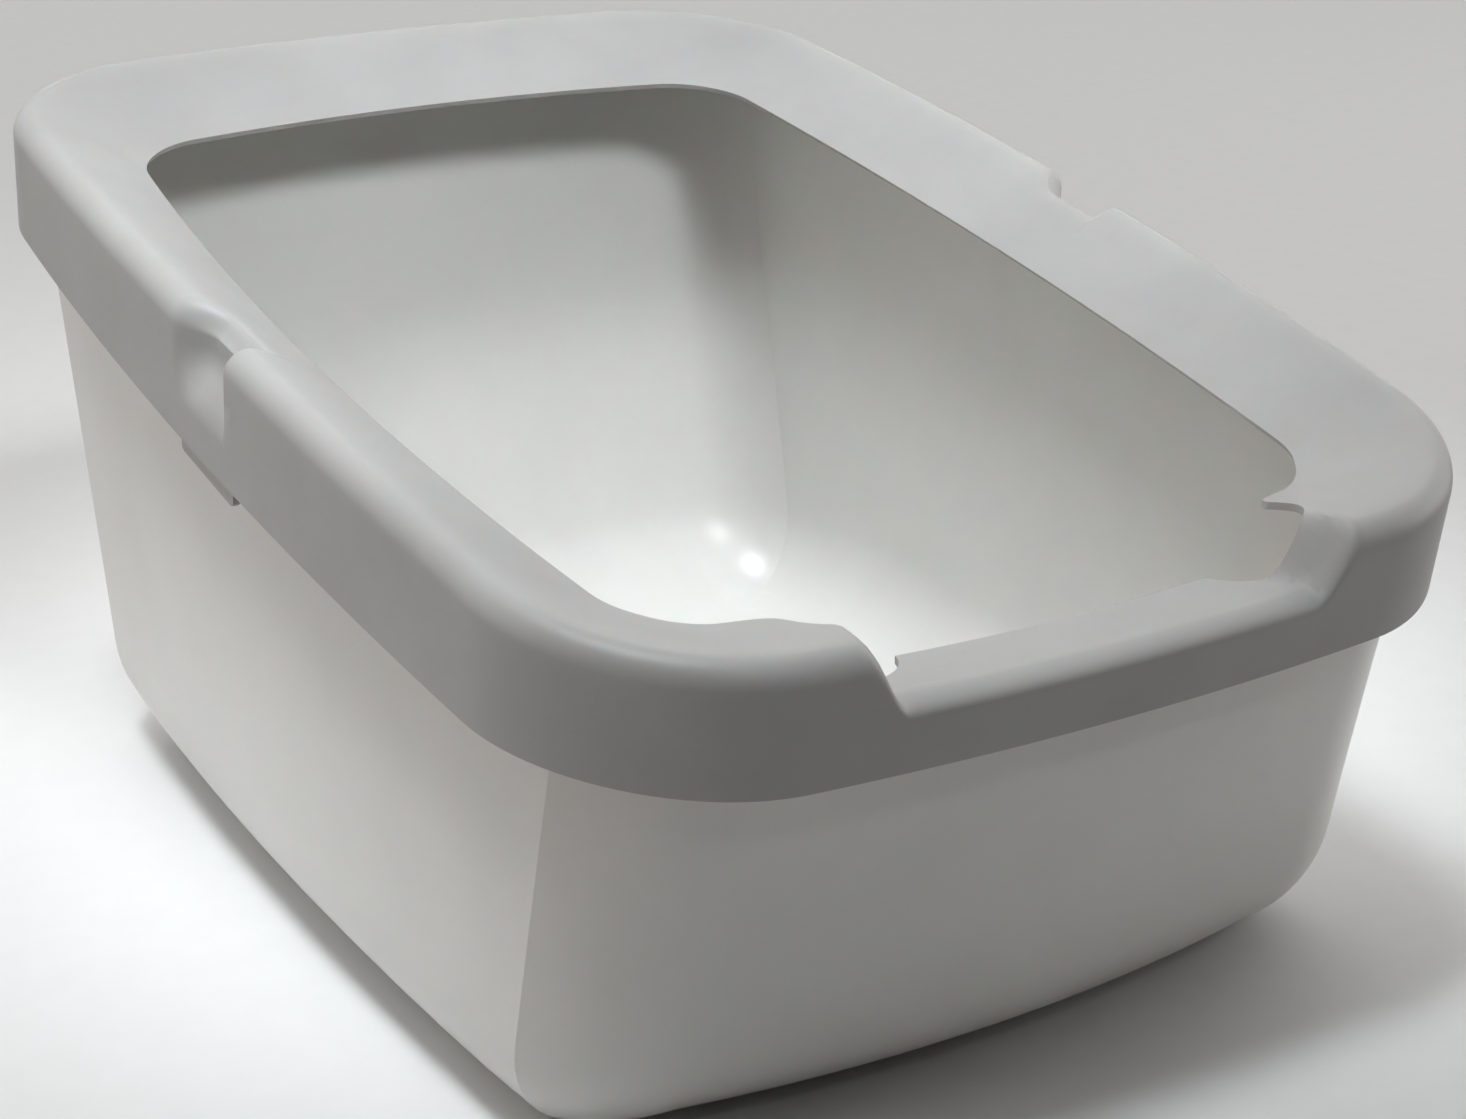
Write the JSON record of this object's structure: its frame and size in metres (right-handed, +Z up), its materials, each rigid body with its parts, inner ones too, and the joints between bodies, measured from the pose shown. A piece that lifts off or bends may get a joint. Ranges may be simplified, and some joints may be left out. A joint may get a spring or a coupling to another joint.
{
  "type": "litter box",
  "caption": "Open cat litter box: a deep moulded pan, higher at the rear, with a thick lift-off guard rim that has a low entry and finger recesses.",
  "frame": {"origin": "on the floor under the pan, halfway between the rim's front and rear", "axes": "+Z up, +Y towards the high rear end, -Y towards the low entry, X across the box"},
  "size_m": [0.3896, 0.5666, 0.2801],
  "materials": {
    "pan_plastic": "gloss",
    "rim_plastic": "satin"
  },
  "bodies": {
    "pan": {"pan": "pan_plastic"},
    "rim": {"rim": "rim_plastic"}
  },
  "joints": [
    {"name": "rim_lift", "type": "slide", "parent": "pan", "child": "rim", "axis": [0, -0.1513, 0.9885], "range_m": [0, 0.08]}
  ]
}
